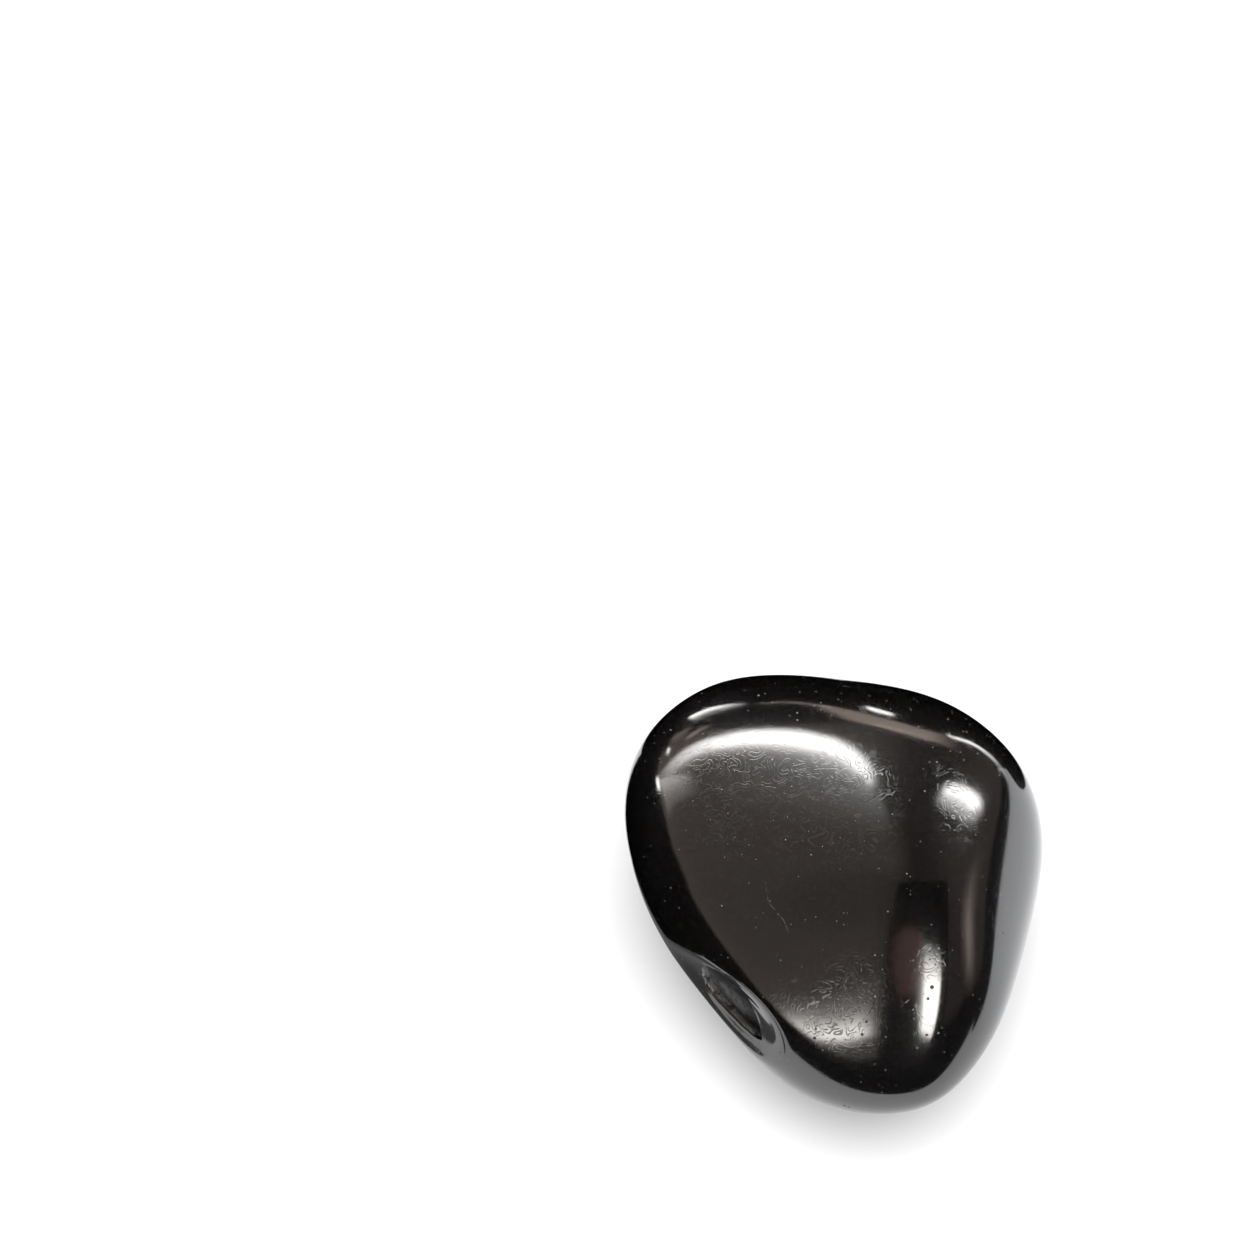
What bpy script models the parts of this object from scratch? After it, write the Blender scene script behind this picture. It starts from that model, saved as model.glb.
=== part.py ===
"""A tumbled and polished shungite pebble: a thick rounded triangle with a domed top,
a low near tip and a broken pit in a scooped hollow on its near left side.

The stone is a rough lump that tumbling wore down from every side. Each worn face is
a plane that trims the lump, and the planes meet in soft rounded ridges.
"""

from math import cos, pi, radians, sin, tan

import bmesh
import bpy
import numpy as np

MM = 0.001

STONE_NAME = "shungite_stone"

# The heart of the stone, in millimetres: the point that its worn faces are measured
# from. The origin is under the middle of the stone's box, on the surface that it
# rests on.
HEART = (-0.07, 0.16, 9.5)

# The worn faces, group by group. Each face has the heading and the climb of its
# outward normal in degrees (heading 0 is +X and 90 is +Y, climb 90 is +Z) and its
# distance from the heart in millimetres. The ridges between the faces of a group
# are rounded over about the group's softness, also in millimetres.
CROWN_SOFTNESS = 1.1
CROWN = (
    (232, 74, 10.0),
    (120, 80, 11.3),
    (50, 76, 12.0),
    (265, 61, 10.3),
    (246, 48, 12.6),
)
SHOULDER_SOFTNESS = 0.85
SHOULDER = (
    (40, 45, 15.5),
    (86, 58, 13.5),
    (135, 54, 15.0),
    (186, 56, 14.0),
    (184, 28, 15.4),
    (215, 55, 12.7),
    (225, 22, 13.2),
    (240, 26, 13.6),
    (270, 30, 16.7),
    (315, 35, 14.9),
    (350, 28, 14.2),
    (347, 46, 13.0),
    (350, 68, 12.9),
)
GIRDLE_SOFTNESS = 0.8
GIRDLE = (
    (9, 4, 16.5),
    (33, 14, 17.4),
    (58, 21, 16.8),
    (82, 25, 15.9),
    (106, 24, 17.5),
    (133, 19, 18.8),
    (157, 10, 18.0),
    (180, 0, 15.7),
    (198, -8, 13.4),
    (217, -16, 12.2),
    (243, -22, 14.6),
    (270, -25, 16.8),
    (297, -22, 17.9),
    (323, -16, 17.0),
    (347, -6, 14.7),
    (272, 4, 18.3),
    (40, -12, 16.4),
    (85, -6, 16.4),
    (133, -14, 17.2),
)
BELLY_SOFTNESS = 1.3
BELLY = (
    (0, -90, 10.5),
    (20, -64, 11.9),
    (110, -64, 12.2),
    (200, -64, 11.2),
    (290, -64, 11.9),
    (62, -40, 13.8),
    (135, -42, 14.2),
    (208, -42, 12.0),
    (268, -42, 15.0),
    (330, -38, 13.2),
)

# The hollow in the near left side, in millimetres: a smooth scoop, and in it a pit
# where a flake broke out before the polishing. Each is an oval that lies along the
# girdle, with its middle measured from the heart.
HOLLOW_HEADING = 218
HOLLOW_CLIMB = 14
HOLLOW_REACH = 6.0
SCOOP_MIDDLE = (-8.1, -9.1, 1.7)
SCOOP_HALF_LENGTH = 4.5
SCOOP_HALF_WIDTH = 2.3
SCOOP_DEPTH = 0.8
SCOOP_BLEND = 0.45
PIT_MIDDLE = (-7.8, -9.8, 1.5)
PIT_HALF_LENGTH = 3.9
PIT_HALF_WIDTH = 1.9
PIT_DEPTH = 0.5
PIT_BLEND = 0.15

# The skin: each side of the starting cube is parted into this many squares.
SQUARES_PER_SIDE = 28
FARTHEST_SKIN = 30.0
HALVINGS = 32

STONE_COLOUR = (0.012, 0.011, 0.010, 1.0)
STONE_ROUGHNESS = 0.07


def clear_scene():
    for old in list(bpy.data.objects):
        bpy.data.objects.remove(old, do_unlink=True)


def pointing(heading, climb):
    """The unit vector with this heading and climb, in degrees."""
    level = cos(radians(climb))
    return np.array((
        level * cos(radians(heading)),
        level * sin(radians(heading)),
        sin(radians(climb)),
    ))


def smooth_step(low, high, values):
    share = np.clip((values - low) / (high - low), 0.0, 1.0)
    return share * share * (3.0 - 2.0 * share)


def worn_depth(points):
    """How far outside the worn faces each point is, in millimetres, with the ridges
    rounded: the faces' distances are joined by a soft maximum."""
    groups = (
        (CROWN, CROWN_SOFTNESS),
        (SHOULDER, SHOULDER_SOFTNESS),
        (GIRDLE, GIRDLE_SOFTNESS),
        (BELLY, BELLY_SOFTNESS),
    )
    total = np.zeros(len(points))
    for faces, softness in groups:
        for heading, climb, distance in faces:
            outside = points @ pointing(heading, climb) - distance
            total += np.exp(outside / softness)
    return GIRDLE_SOFTNESS * np.log(total)


def hollow_depth(points, middle, half_length, half_width, depth, blend):
    """How much of the skin an oval hollow takes away at each point."""
    outward = pointing(HOLLOW_HEADING, HOLLOW_CLIMB)
    along = pointing(HOLLOW_HEADING + 90, 0)
    across = np.cross(outward, along)
    offset = points - np.array(middle)
    oval = np.hypot(offset @ along / half_length, offset @ across / half_width)
    near_side = smooth_step(-HOLLOW_REACH, -HOLLOW_REACH / 2, offset @ outward)
    return depth * near_side * (1.0 - smooth_step(1.0 - blend, 1.0 + blend, oval))


def outside_stone(points):
    """Negative inside the stone, zero on its skin and positive outside it."""
    scoop = hollow_depth(
        points, SCOOP_MIDDLE, SCOOP_HALF_LENGTH, SCOOP_HALF_WIDTH, SCOOP_DEPTH, SCOOP_BLEND
    )
    pit = hollow_depth(
        points, PIT_MIDDLE, PIT_HALF_LENGTH, PIT_HALF_WIDTH, PIT_DEPTH, PIT_BLEND
    )
    return worn_depth(points) + scoop + pit


def skin_points(directions):
    """The point of the skin in each direction from the heart, found by halving."""
    inner = np.zeros(len(directions))
    outer = np.full(len(directions), FARTHEST_SKIN)
    for _ in range(HALVINGS):
        middle = (inner + outer) / 2.0
        inside = outside_stone(directions * middle[:, None]) < 0.0
        inner = np.where(inside, middle, inner)
        outer = np.where(inside, outer, middle)
    return directions * inner[:, None]


def ball_from_cube():
    """A cube parted into squares, which are then spread evenly over a unit ball."""
    ball = bmesh.new()
    bmesh.ops.create_cube(ball, size=2.0)
    bmesh.ops.subdivide_edges(
        ball, edges=ball.edges[:], cuts=SQUARES_PER_SIDE - 1, use_grid_fill=True
    )
    for vertex in ball.verts:
        for axis in range(3):
            vertex.co[axis] = tan(vertex.co[axis] * pi / 4.0)
        vertex.co.normalize()
    return ball


def stone_mesh():
    stone = ball_from_cube()
    directions = np.array([vertex.co[:] for vertex in stone.verts])
    directions /= np.linalg.norm(directions, axis=1)[:, None]
    places = (skin_points(directions) + np.array(HEART)) * MM
    for vertex, place in zip(stone.verts, places):
        vertex.co = place
    rest_on_flat_spot(stone)
    bmesh.ops.recalc_face_normals(stone, faces=stone.faces[:])
    mesh = bpy.data.meshes.new(STONE_NAME)
    stone.to_mesh(mesh)
    stone.free()
    mesh.shade_smooth()
    return mesh


def rest_on_flat_spot(stone):
    """Cuts the belly off level at the origin's height, and closes the cut."""
    everything = stone.verts[:] + stone.edges[:] + stone.faces[:]
    bmesh.ops.bisect_plane(
        stone, geom=everything, plane_co=(0, 0, 0), plane_no=(0, 0, -1), clear_outer=True
    )
    rim = [edge for edge in stone.edges if edge.is_boundary]
    bmesh.ops.holes_fill(stone, edges=rim, sides=len(rim))


def stone_material():
    material = bpy.data.materials.new("polished_shungite")
    material.use_nodes = True
    surface = material.node_tree.nodes["Principled BSDF"]
    surface.inputs["Base Color"].default_value = STONE_COLOUR
    surface.inputs["Roughness"].default_value = STONE_ROUGHNESS
    surface.inputs["Metallic"].default_value = 0.0
    material.diffuse_color = STONE_COLOUR
    return material


def main():
    clear_scene()
    stone = bpy.data.objects.new(STONE_NAME, stone_mesh())
    stone.data.materials.append(stone_material())
    collection = bpy.data.collections.new("shungite_rock")
    bpy.context.scene.collection.children.link(collection)
    collection.objects.link(stone)


main()
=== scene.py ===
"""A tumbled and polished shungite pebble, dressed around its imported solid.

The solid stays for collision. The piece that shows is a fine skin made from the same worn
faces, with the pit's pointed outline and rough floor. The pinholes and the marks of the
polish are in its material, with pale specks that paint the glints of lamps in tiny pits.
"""

from math import cos, pi, radians, sin, tan

import bmesh
import bpy
import numpy as np
from bpy.props import FloatProperty, FloatVectorProperty, IntProperty, PointerProperty
from bpy.types import Operator, Panel, PropertyGroup
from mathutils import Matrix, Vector, noise


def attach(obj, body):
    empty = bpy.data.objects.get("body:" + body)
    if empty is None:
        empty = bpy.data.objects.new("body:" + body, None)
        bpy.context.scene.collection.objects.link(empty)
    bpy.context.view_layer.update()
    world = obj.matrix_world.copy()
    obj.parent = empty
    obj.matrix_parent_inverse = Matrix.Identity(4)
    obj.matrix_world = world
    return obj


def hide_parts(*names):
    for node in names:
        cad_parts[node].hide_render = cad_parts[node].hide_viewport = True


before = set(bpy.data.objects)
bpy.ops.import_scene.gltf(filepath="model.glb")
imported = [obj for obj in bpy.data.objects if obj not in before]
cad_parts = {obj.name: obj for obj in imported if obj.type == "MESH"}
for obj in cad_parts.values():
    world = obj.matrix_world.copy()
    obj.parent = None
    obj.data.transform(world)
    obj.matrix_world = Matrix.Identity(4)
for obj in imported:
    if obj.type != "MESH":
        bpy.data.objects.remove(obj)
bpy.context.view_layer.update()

bl_info = {
    "name": "Polished Shungite Pebble",
    "version": (1, 0, 0),
    "blender": (4, 5, 0),
    "location": "3D View > Sidebar > Shungite",
    "description": "Makes a polished shungite pebble and the studio that it is seen in",
    "category": "Object",
}

MM = 0.001
STONE_NODE = "shungite_stone"

# The heart of the stone, in millimetres: the point that its worn faces are measured from.
HEART = (-0.07, 0.16, 9.5)

# The worn faces, group by group: the softness of the ridges between them in millimetres,
# then for each face the heading and the climb of its outward normal in degrees (heading 0
# is +X and 90 is +Y, climb 90 is +Z) and its distance from the heart in millimetres.
WORN_FACES = (
    (1.1, (
        (232, 74, 10.0), (120, 80, 11.3), (50, 76, 12.0), (265, 61, 10.3), (246, 48, 12.6),
    )),
    (0.85, (
        (40, 45, 15.5), (86, 58, 13.5), (135, 54, 15.0), (186, 56, 14.0), (184, 28, 15.4),
        (215, 55, 12.7), (225, 22, 13.2), (240, 26, 13.6), (270, 30, 16.7), (315, 35, 14.9),
        (350, 28, 14.2), (347, 46, 13.0), (350, 68, 12.9),
    )),
    (0.8, (
        (9, 4, 16.5), (33, 14, 17.4), (58, 21, 16.8), (82, 25, 15.9), (106, 24, 17.5),
        (133, 19, 18.8), (157, 10, 18.0), (180, 0, 15.7), (198, -8, 13.4), (217, -16, 12.2),
        (243, -22, 14.6), (270, -25, 16.8), (297, -22, 17.9), (323, -16, 17.0),
        (347, -6, 14.7), (272, 4, 18.3), (40, -12, 16.4), (85, -6, 16.4), (133, -14, 17.2),
    )),
    (1.3, (
        (0, -90, 10.5), (20, -64, 11.9), (110, -64, 12.2), (200, -64, 11.2),
        (290, -64, 11.9), (62, -40, 13.8), (135, -42, 14.2), (208, -42, 12.0),
        (268, -42, 15.0), (330, -38, 13.2),
    )),
)
RIDGE_SOFTNESS = 0.8

# The hollow in the near left side: a smooth scoop, and in it a pit where a flake broke out.
# Both lie along the girdle, and their middles are measured from the heart. The pit's upper
# and lower edges are given in millimetres along the girdle and across it.
HOLLOW_HEADING = 218
HOLLOW_CLIMB = 14
HOLLOW_REACH = 6.0
SCOOP_MIDDLE = (-8.1, -9.1, 1.7)
SCOOP_HALF_LENGTH = 4.5
SCOOP_HALF_WIDTH = 2.3
SCOOP_BLEND = 0.45
PIT_MIDDLE = (-7.8, -9.8, 1.5)
PIT_UPPER_EDGE = (
    (-3.5, 0.8), (-3.2, 1.5), (-2.7, 2.2), (-2.1, 2.7), (-1.5, 3.1), (-1.0, 3.3), (-0.5, 3.25),
    (-0.1, 2.95), (0.5, 2.15), (1.0, 1.55), (1.6, 1.0), (2.35, 0.35), (3.0, -0.4),
)
PIT_LOWER_EDGE = (
    (-3.5, 0.6), (-3.3, -0.6), (-3.0, -1.25), (-2.3, -1.6), (-1.7, -1.7), (-0.4, -1.62),
    (0.9, -1.4), (2.3, -0.9), (3.0, -0.4),
)

# The pinholes that show in the polish: their places from the heart, and their radii, all
# in millimetres.
PINHOLES = (
    (6.9, -9.9, 6.2, 0.17), (6.6, -10.6, 5.8, 0.12), (6.5, -12.8, 4.4, 0.12),
    (6.7, -8.1, 7.1, 0.08), (7.1, -8.4, 6.9, 0.08), (-1.5, -12.8, 3.7, 0.12),
    (-1.4, -12.2, 4.1, 0.10), (1.9, -12.8, 4.4, 0.12), (2.2, -12.0, 4.9, 0.11),
    (-10.1, 6.6, 8.4, 0.09), (-11.3, 6.1, 8.0, 0.10), (0.7, -16.3, -0.3, 0.16),
    (1.0, -16.35, -0.35, 0.14), (-5.9, -11.1, -0.35, 0.16), (-5.8, -11.4, -0.27, 0.18),
    (-5.7, -11.75, -0.2, 0.14), (-5.5, -12.1, -0.1, 0.24),
)

# Where the polish is marked most: places from the heart and reaches, in millimetres.
MARKED_SPOTS = (
    (-9.6, 5.5, 8.6, 3.0), (-6.7, 4.8, 9.2, 3.5), (-3.8, 4.0, 9.6, 3.8), (-0.9, 3.6, 9.8, 3.8),
    (2.2, 3.2, 10.0, 3.5), (2.0, 0.5, 9.9, 3.2), (-2.3, 1.0, 9.6, 3.4), (-8.0, 2.0, 8.8, 3.2),
    (7.8, 5.2, 9.2, 2.2), (8.9, 1.8, 8.9, 2.2), (1.3, -9.5, 6.3, 2.8), (7.0, -8.1, 7.1, 1.8),
    (-0.2, -11.5, 4.9, 2.4),
)

# The fine scratches: the corners of each, in millimetres from the heart.
SCRATCHES = (
    ((-5.0, -2.7, 8.3), (-4.8, -4.0, 7.9), (-3.7, -5.3, 7.6), (-3.3, -6.2, 7.3)),
    ((10.7, 10.8, 5.4), (12.5, 9.9, 4.3)),
    (
        (6.3, -10.3, 6.0), (5.8, -10.6, 5.9), (5.7, -11.1, 5.6), (5.9, -11.6, 5.3),
        (6.3, -11.8, 5.1),
    ),
    ((4.7, -11.1, 5.6), (5.2, -10.7, 5.8)),
)

# The search for the skin, in millimetres from the heart.
FARTHEST_SKIN = 30.0
HALVINGS = 32

# Distances inside the pit's edge, in millimetres: where its wall stands, where the dull
# look of the break begins, and how far its floor rises to its full roughness. The squares
# are parted more finely up to the margin outside the edge.
PIT_WALL = (-0.05, 0.25)
BREAK_EDGE = (0.02, 0.14)
FLOOR_EDGE = (0.0, 0.4)
FINE_MARGIN = 0.6
FINE_CUTS = 3

# The swells of the break's rough floor: how many to the millimetre, and how high in
# millimetres.
FLOOR_SWELLS = ((0.9, 0.06), (3.1, 0.025), (8.0, 0.0125))

# What counts as the distance from the pit on the side of the stone that faces away.
FAR_OUTSIDE = -9.0

# The share of a marked place's reach over which its marks fade out.
MARK_FADE = 0.7


def pointing(heading, climb):
    """The unit vector with this heading and climb, in degrees."""
    level = cos(radians(climb))
    return np.array((
        level * cos(radians(heading)),
        level * sin(radians(heading)),
        sin(radians(climb)),
    ))


OUTWARD = pointing(HOLLOW_HEADING, HOLLOW_CLIMB)
ALONG = pointing(HOLLOW_HEADING + 90, 0)
ACROSS = np.cross(OUTWARD, ALONG)


def smooth_step(low, high, values):
    share = np.clip((values - low) / (high - low), 0.0, 1.0)
    return share * share * (3.0 - 2.0 * share)


def worn_depth(points):
    """How far outside the worn faces each point is, with the ridges rounded."""
    total = np.zeros(len(points))
    for softness, faces in WORN_FACES:
        for heading, climb, distance in faces:
            total += np.exp((points @ pointing(heading, climb) - distance) / softness)
    return RIDGE_SOFTNESS * np.log(total)


def near_side(points, middle):
    """One on the side of the stone that the hollow is in, and zero on its far side."""
    out = (points - np.array(middle)) @ OUTWARD
    return smooth_step(-HOLLOW_REACH, -HOLLOW_REACH / 2, out)


def scoop_share(points):
    offset = points - np.array(SCOOP_MIDDLE)
    oval = np.hypot(offset @ ALONG / SCOOP_HALF_LENGTH, offset @ ACROSS / SCOOP_HALF_WIDTH)
    edge = 1.0 - smooth_step(1.0 - SCOOP_BLEND, 1.0 + SCOOP_BLEND, oval)
    return edge * near_side(points, SCOOP_MIDDLE)


def pit_distance(points):
    """How far inside the pit's pointed outline each point is, in millimetres: positive
    inside it and negative outside it."""
    offset = points - np.array(PIT_MIDDLE)
    along = offset @ ALONG
    across = offset @ ACROSS
    upper = np.interp(along, *zip(*PIT_UPPER_EDGE))
    lower = np.interp(along, *zip(*PIT_LOWER_EDGE))
    beyond = np.maximum(PIT_UPPER_EDGE[0][0] - along, along - PIT_UPPER_EDGE[-1][0])
    inside = np.minimum(upper - across, across - lower) - np.clip(beyond, 0.0, None)
    return np.where(near_side(points, PIT_MIDDLE) > 0.5, inside, FAR_OUTSIDE)


def outside_stone(points, form):
    """Negative inside the stone, zero on its skin and positive outside it."""
    scoop = form.scoop_depth / MM * scoop_share(points)
    pit = form.pit_depth / MM * smooth_step(*PIT_WALL, pit_distance(points))
    return worn_depth(points) + scoop + pit


def skin_points(directions, form):
    """The point of the skin in each direction from the heart, found by halving."""
    inner = np.zeros(len(directions))
    outer = np.full(len(directions), FARTHEST_SKIN)
    for _ in range(HALVINGS):
        middle = (inner + outer) / 2.0
        inside = outside_stone(directions * middle[:, None], form) < 0.0
        inner = np.where(inside, middle, inner)
        outer = np.where(inside, outer, middle)
    return directions * inner[:, None]


class StoneForm(PropertyGroup):
    squares_per_side: IntProperty(
        name="Squares per Side",
        description="How finely each of the six sides of the skin is parted",
        default=112,
        min=24,
        max=120,
    )
    scoop_depth: FloatProperty(
        name="Scoop Depth",
        description="How deep the smooth hollow in the near left side is worn",
        default=0.8 * MM,
        unit="LENGTH",
    )
    pit_depth: FloatProperty(
        name="Pit Depth",
        description="How deep the flake that left the pit was",
        default=0.35 * MM,
        unit="LENGTH",
    )


class StonePolish(PropertyGroup):
    body_colour: FloatVectorProperty(
        name="Body Colour",
        description="The black of the polished stone",
        default=(0.0016, 0.0014, 0.0013),
        subtype="COLOR",
        size=3,
    )
    pit_colour: FloatVectorProperty(
        name="Pit Colour",
        description="The dull black of the unpolished break",
        default=(0.008, 0.008, 0.008),
        subtype="COLOR",
        size=3,
    )
    gloss_index: FloatProperty(
        name="Gloss Index",
        description="The refractive index that sets how strongly the polish mirrors",
        default=1.8,
        min=1.3,
        max=2.5,
    )
    roughness: FloatProperty(
        name="Roughness",
        description="How blurred the mirror of the polish is",
        default=0.08,
        subtype="FACTOR",
    )
    haze: FloatProperty(
        name="Haze",
        description="How much of the light is scattered around the highlights",
        default=0.12,
        subtype="FACTOR",
    )
    mark_depth: FloatProperty(
        name="Mark Depth",
        description="How deep the curly polishing marks are",
        default=0.0030 * MM,
        unit="LENGTH",
    )
    mark_haze: FloatProperty(
        name="Mark Haze",
        description="How much rougher the bottoms of the marks are than the polish",
        default=0.13,
        subtype="FACTOR",
    )


class StudioSettings(PropertyGroup):
    room_colour: FloatVectorProperty(
        name="Room Colour",
        description="The warm grey of the dim room around the table",
        default=(0.39, 0.33, 0.295),
        subtype="COLOR",
        size=3,
    )
    backdrop_colour: FloatVectorProperty(
        name="Backdrop Colour",
        description="The pale grey behind the table, which also lights the paper",
        default=(1.1, 1.1, 1.1),
        subtype="COLOR",
        size=3,
    )
    paper_colour: FloatVectorProperty(
        name="Paper Colour",
        description="The white of the paper that the stone lies on",
        default=(0.80, 0.80, 0.80),
        subtype="COLOR",
        size=3,
    )
    lamp_brightness: FloatProperty(
        name="Lamp Brightness",
        description="How bright the soft boxes are, as a share of their usual brightness",
        default=1.0,
    )
    fill_power: FloatProperty(
        name="Fill Power",
        description="The power of the overhead light that only whitens the paper",
        default=20.0,
        unit="POWER",
    )
    camera_climb: FloatProperty(
        name="Camera Climb",
        description="How far above the level the camera looks from",
        default=radians(65.0),
        subtype="ANGLE",
    )
    lens: FloatProperty(
        name="Lens",
        description="The camera's focal length in millimetres",
        default=300.0,
    )


def ball_from_cube(squares):
    """A cube parted into squares, which are then spread evenly over a unit ball."""
    ball = bmesh.new()
    bmesh.ops.create_cube(ball, size=2.0)
    bmesh.ops.subdivide_edges(
        ball, edges=ball.edges[:], cuts=squares - 1, use_grid_fill=True
    )
    for vertex in ball.verts:
        for axis in range(3):
            vertex.co[axis] = tan(vertex.co[axis] * pi / 4.0)
        vertex.co.normalize()
    return ball


def directions_of(stone):
    directions = np.array([vertex.co[:] for vertex in stone.verts])
    return directions / np.linalg.norm(directions, axis=1)[:, None]


def refine_hollow(stone, form):
    """Parts the squares over the pit and its rim more finely."""
    places = skin_points(directions_of(stone), form)
    near_pit = pit_distance(places) > -FINE_MARGIN
    stone.verts.ensure_lookup_table()
    fine = [
        edge for edge in stone.edges
        if near_pit[edge.verts[0].index] and near_pit[edge.verts[1].index]
    ]
    bmesh.ops.subdivide_edges(stone, edges=fine, cuts=FINE_CUTS, use_grid_fill=True)


def broken_bottom(places):
    """How far the break's rough bottom stands out or dips, in millimetres."""
    inside = pit_distance(places)
    rough = np.zeros(len(places))
    for index in np.nonzero(inside > 0.0)[0]:
        spot = Vector(places[index])
        for pitch, height in FLOOR_SWELLS:
            rough[index] += height * noise.noise(spot * pitch)
    return rough * smooth_step(*FLOOR_EDGE, inside)


def marked_share(points):
    """How much of the most marked places is at each point: 1 in their middles."""
    share = np.zeros(len(points))
    for *place, reach in MARKED_SPOTS:
        away = np.linalg.norm(points - np.array(place), axis=1)
        share = np.maximum(share, np.clip((reach - away) / (MARK_FADE * reach), 0.0, 1.0))
    return share


def stone_mesh(form):
    stone = ball_from_cube(form.squares_per_side)
    refine_hollow(stone, form)
    directions = directions_of(stone)
    skin = skin_points(directions, form)
    skin += directions * broken_bottom(skin)[:, None]
    inside = pit_distance(skin)
    places = (skin + np.array(HEART)) * MM
    shares = {
        "break_share": smooth_step(*BREAK_EDGE, inside),
        "mark_share": marked_share(skin),
    }
    for name in shares:
        stone.verts.layers.float.new(name)
    layers = [(stone.verts.layers.float[name], share) for name, share in shares.items()]
    for number, (vertex, place) in enumerate(zip(stone.verts, places)):
        vertex.co = place
        for layer, share in layers:
            vertex[layer] = share[number]
    rest_on_flat_spot(stone)
    bmesh.ops.recalc_face_normals(stone, faces=stone.faces[:])
    mesh = bpy.data.meshes.new("shungite_skin")
    stone.to_mesh(mesh)
    stone.free()
    mesh.shade_smooth()
    return mesh


def rest_on_flat_spot(stone):
    """Cuts the belly off level at the origin's height, and closes the cut."""
    everything = stone.verts[:] + stone.edges[:] + stone.faces[:]
    bmesh.ops.bisect_plane(
        stone, geom=everything, plane_co=(0, 0, 0), plane_no=(0, 0, -1), clear_outer=True
    )
    rim = [edge for edge in stone.edges if edge.is_boundary]
    bmesh.ops.holes_fill(stone, edges=rim, sides=len(rim))


# The curly marks, the scratches, the dust and the break are cut from clouds. A pitch says
# how many swells a cloud has to the millimetre, and the levels say where it is cut.
SWIRL_PITCH = 0.8
SWIRL_BEND = 0.4
SWIRL_LINES = 10.0
LINE_LEVELS = (0.5, 1.0)
STROKE_PITCH = 1.2
STROKE_LEVELS = (0.34, 0.50)
LEAST_MARKS = 0.2

# Loose dots: the cells to the millimetre, the radius of a dot in millimetres, and the
# share of the cells that hold one. A core is the share of a radius that is at full
# strength.
LOOSE_PINHOLES = (1.5, 0.09, 0.02)
# The specks are pale dots that paint the glints of lamps caught in tiny pits.
COARSE_PAINTED_GLINTS = (2.2, 0.07, 0.035)
FINE_PAINTED_GLINTS = (4.0, 0.045, 0.07)
DOT_CORE = 0.5
HOLE_CORE = 0.6

# The scratches reach this far from their middles, in millimetres.
SCRATCH_WIDTH = 0.06
SCRATCH_CORE = 0.3
SCRATCH_PITCH = 2.3
SCRATCH_LEVELS = (0.35, 0.6)

DUST_PITCH = 3.0
DUST_LEVELS = (0.45, 0.75)
DUST_SHARE = 0.6

# The break: its crumbs, its pale grains, and the pale patch on the upper left part of its
# floor, which fades between these distances from the heart.
CRUMB_PITCH = 9.0
CRUMB_HEIGHT = 0.06 * MM
GRAIN_PITCH = 5.0
GRAIN_LEVELS = (0.66, 0.70)
GRAIN_SHARE = 0.5
PATCH_PITCH = 1.7
PATCH_LEVELS = (0.42, 0.46)
PATCH_FADE_Y = (-10.3, -8.2)
PATCH_FADE_Z = (2.3, 1.3)
FINE_DETAIL = (4.0, 0.7)

# The colours of the wear and of the painted glints of lamps in tiny pits, and how much
# rougher than the polish each kind is.
DUST_GREY = 0.005
MARK_GREY = 0.012
SCRATCH_GREY = 0.03
PATCH_GREY = 0.12
# A painted glint: the pale colour of a tiny pit that catches a lamp.
PAINTED_GLINT_COLOUR = (0.16, 0.155, 0.15, 1.0)
PAINTED_GLINT_ROUGHNESS = 0.4
SCRATCH_ROUGHNESS = 0.25
PINHOLE_ROUGHNESS = 0.6
BREAK_ROUGHNESS = 0.3
BREAK_METAL = 0.9
HAZE_ROUGHNESS = 0.35
HAZE_INDEX = 1.5


class NodeBench:
    """Makes the nodes of one material and joins them."""

    def __init__(self, name):
        self.material = bpy.data.materials.new(name)
        self.material.use_nodes = True
        self.tree = self.material.node_tree
        self.tree.nodes.clear()

    def add(self, kind, inputs=(), **settings):
        node = self.tree.nodes.new(kind)
        for key, value in settings.items():
            setattr(node, key, value)
        for key, value in dict(inputs).items():
            if isinstance(value, bpy.types.NodeSocket):
                self.tree.links.new(value, node.inputs[key])
            else:
                node.inputs[key].default_value = value
        return node

    def math(self, operation, first, second=0.0):
        node = self.add("ShaderNodeMath", {0: first, 1: second}, operation=operation)
        return node.outputs[0]

    def kept(self, name):
        """A value that the mesh keeps at each corner."""
        return self.add(
            "ShaderNodeAttribute", attribute_name=name, attribute_type="GEOMETRY"
        ).outputs["Fac"]

    def times(self, first, second):
        return self.math("MULTIPLY", first, second)

    def most(self, first, second):
        return self.math("MAXIMUM", first, second)

    def ramp(self, value, low, high):
        """Maps low..high smoothly onto 0..1."""
        return self.add(
            "ShaderNodeMapRange",
            {"Value": value, "From Min": low, "From Max": high},
            interpolation_type="SMOOTHSTEP",
        ).outputs[0]

    def blend(self, share, first, second):
        node = self.add("ShaderNodeMix", data_type="RGBA")
        for name, value in (("Factor", share), ("A", first), ("B", second)):
            socket = next(s for s in node.inputs if s.name == name and s.enabled)
            if isinstance(value, bpy.types.NodeSocket):
                self.tree.links.new(value, socket)
            else:
                socket.default_value = value
        return next(s for s in node.outputs if s.enabled)

    def bump(self, height, depth, normal=None, dent=True):
        inputs = {"Strength": 1.0, "Distance": depth, "Height": height}
        if normal:
            inputs["Normal"] = normal
        return self.add("ShaderNodeBump", inputs, invert=dent).outputs[0]

    def finish(self, surface):
        self.add("ShaderNodeOutputMaterial", {"Surface": surface})
        return self.material


def grey(value):
    return (value, value, value, 1.0)


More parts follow.
